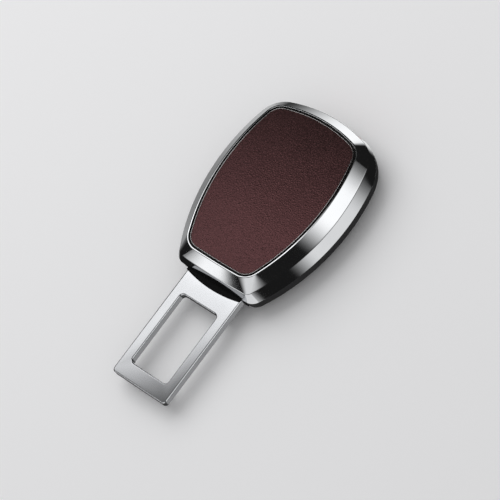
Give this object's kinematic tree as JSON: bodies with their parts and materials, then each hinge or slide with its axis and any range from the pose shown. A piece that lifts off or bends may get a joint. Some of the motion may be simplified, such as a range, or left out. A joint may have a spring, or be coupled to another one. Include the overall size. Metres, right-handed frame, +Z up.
{
  "type": "seat belt extender buckle",
  "caption": "Extender buckle: steel belt tongue with a latch window, and a rounded chrome-rimmed head with leather inlay, mouth and red press button at the far end.",
  "frame": {"origin": "on the underside, half way along the object and on its plane of symmetry", "axes": "+Y along the object from the tongue to the wide end with the mouth; +Z up, from the back cover to the leather; x = 0 is the plane of symmetry"},
  "size_m": [0.0574, 0.1125, 0.016],
  "materials": {
    "tongue_steel": "satin plated steel with broken edges",
    "chrome": "satin-bright chrome on zinc casting",
    "leather": "fine-grained maroon-brown leather",
    "foam": "thin closed-cell foam",
    "inner_plastic": "moulded black plastic",
    "cover_plastic": "fine-textured black plastic",
    "collar_plastic": "smooth black plastic",
    "frame_steel": "zinc-plated stamped steel",
    "rivet_steel": "plated steel",
    "latch_steel": "hardened steel",
    "spring_steel": "spring steel",
    "guide_plastic": "moulded black plastic",
    "button_plastic": "satin red plastic",
    "ejector_plastic": "natural acetal plastic",
    "screw_steel": "blackened steel"
  },
  "bodies": {
    "housing": {"tongue_plate": "tongue_steel", "chrome_bezel": "chrome", "leather_panel": "leather", "panel_foam": "foam", "panel_carrier": "inner_plastic", "back_cover": "cover_plastic", "front_collar": "collar_plastic", "latch_frame": "frame_steel", "frame_rivet_left": "rivet_steel", "frame_rivet_right": "rivet_steel", "latch_pin": "rivet_steel", "latch_spring": "spring_steel", "tongue_guide": "guide_plastic", "button_spring_left": "spring_steel", "button_spring_right": "spring_steel", "ejector_spring": "spring_steel", "cover_screw_1": "screw_steel", "cover_screw_2": "screw_steel", "cover_screw_3": "screw_steel", "cover_screw_4": "screw_steel"},
    "button": {"press_button": "button_plastic"},
    "latch": {"latch_plate": "latch_steel"},
    "ejector": {"ejector": "ejector_plastic"}
  },
  "joints": [
    {"name": "button_slide", "type": "slide", "parent": "housing", "child": "button", "axis": [0, -1, 0], "range_m": [0, 0.0032], "stiffness_N_per_m": 500, "springref_m": -0.004, "deforming": ["button_spring_left", "button_spring_right"]},
    {"name": "latch_pivot", "type": "hinge", "parent": "housing", "child": "latch", "pos_m": [0, 0.01625, 0.00895], "axis": [1, 0, 0], "range_deg": [0, 10.1], "stiffness_Nm_per_rad": 0.1, "springref_deg": -17.19, "deforming": ["latch_spring"]},
    {"name": "ejector_slide", "type": "slide", "parent": "housing", "child": "ejector", "axis": [0, -1, 0], "range_m": [0, 0.006], "stiffness_N_per_m": 300, "springref_m": -0.006, "deforming": ["ejector_spring"]}
  ],
  "couplings": [
    {"joint": "latch_pivot", "follows": "button_slide", "rad_per_m": 54.7}
  ]
}
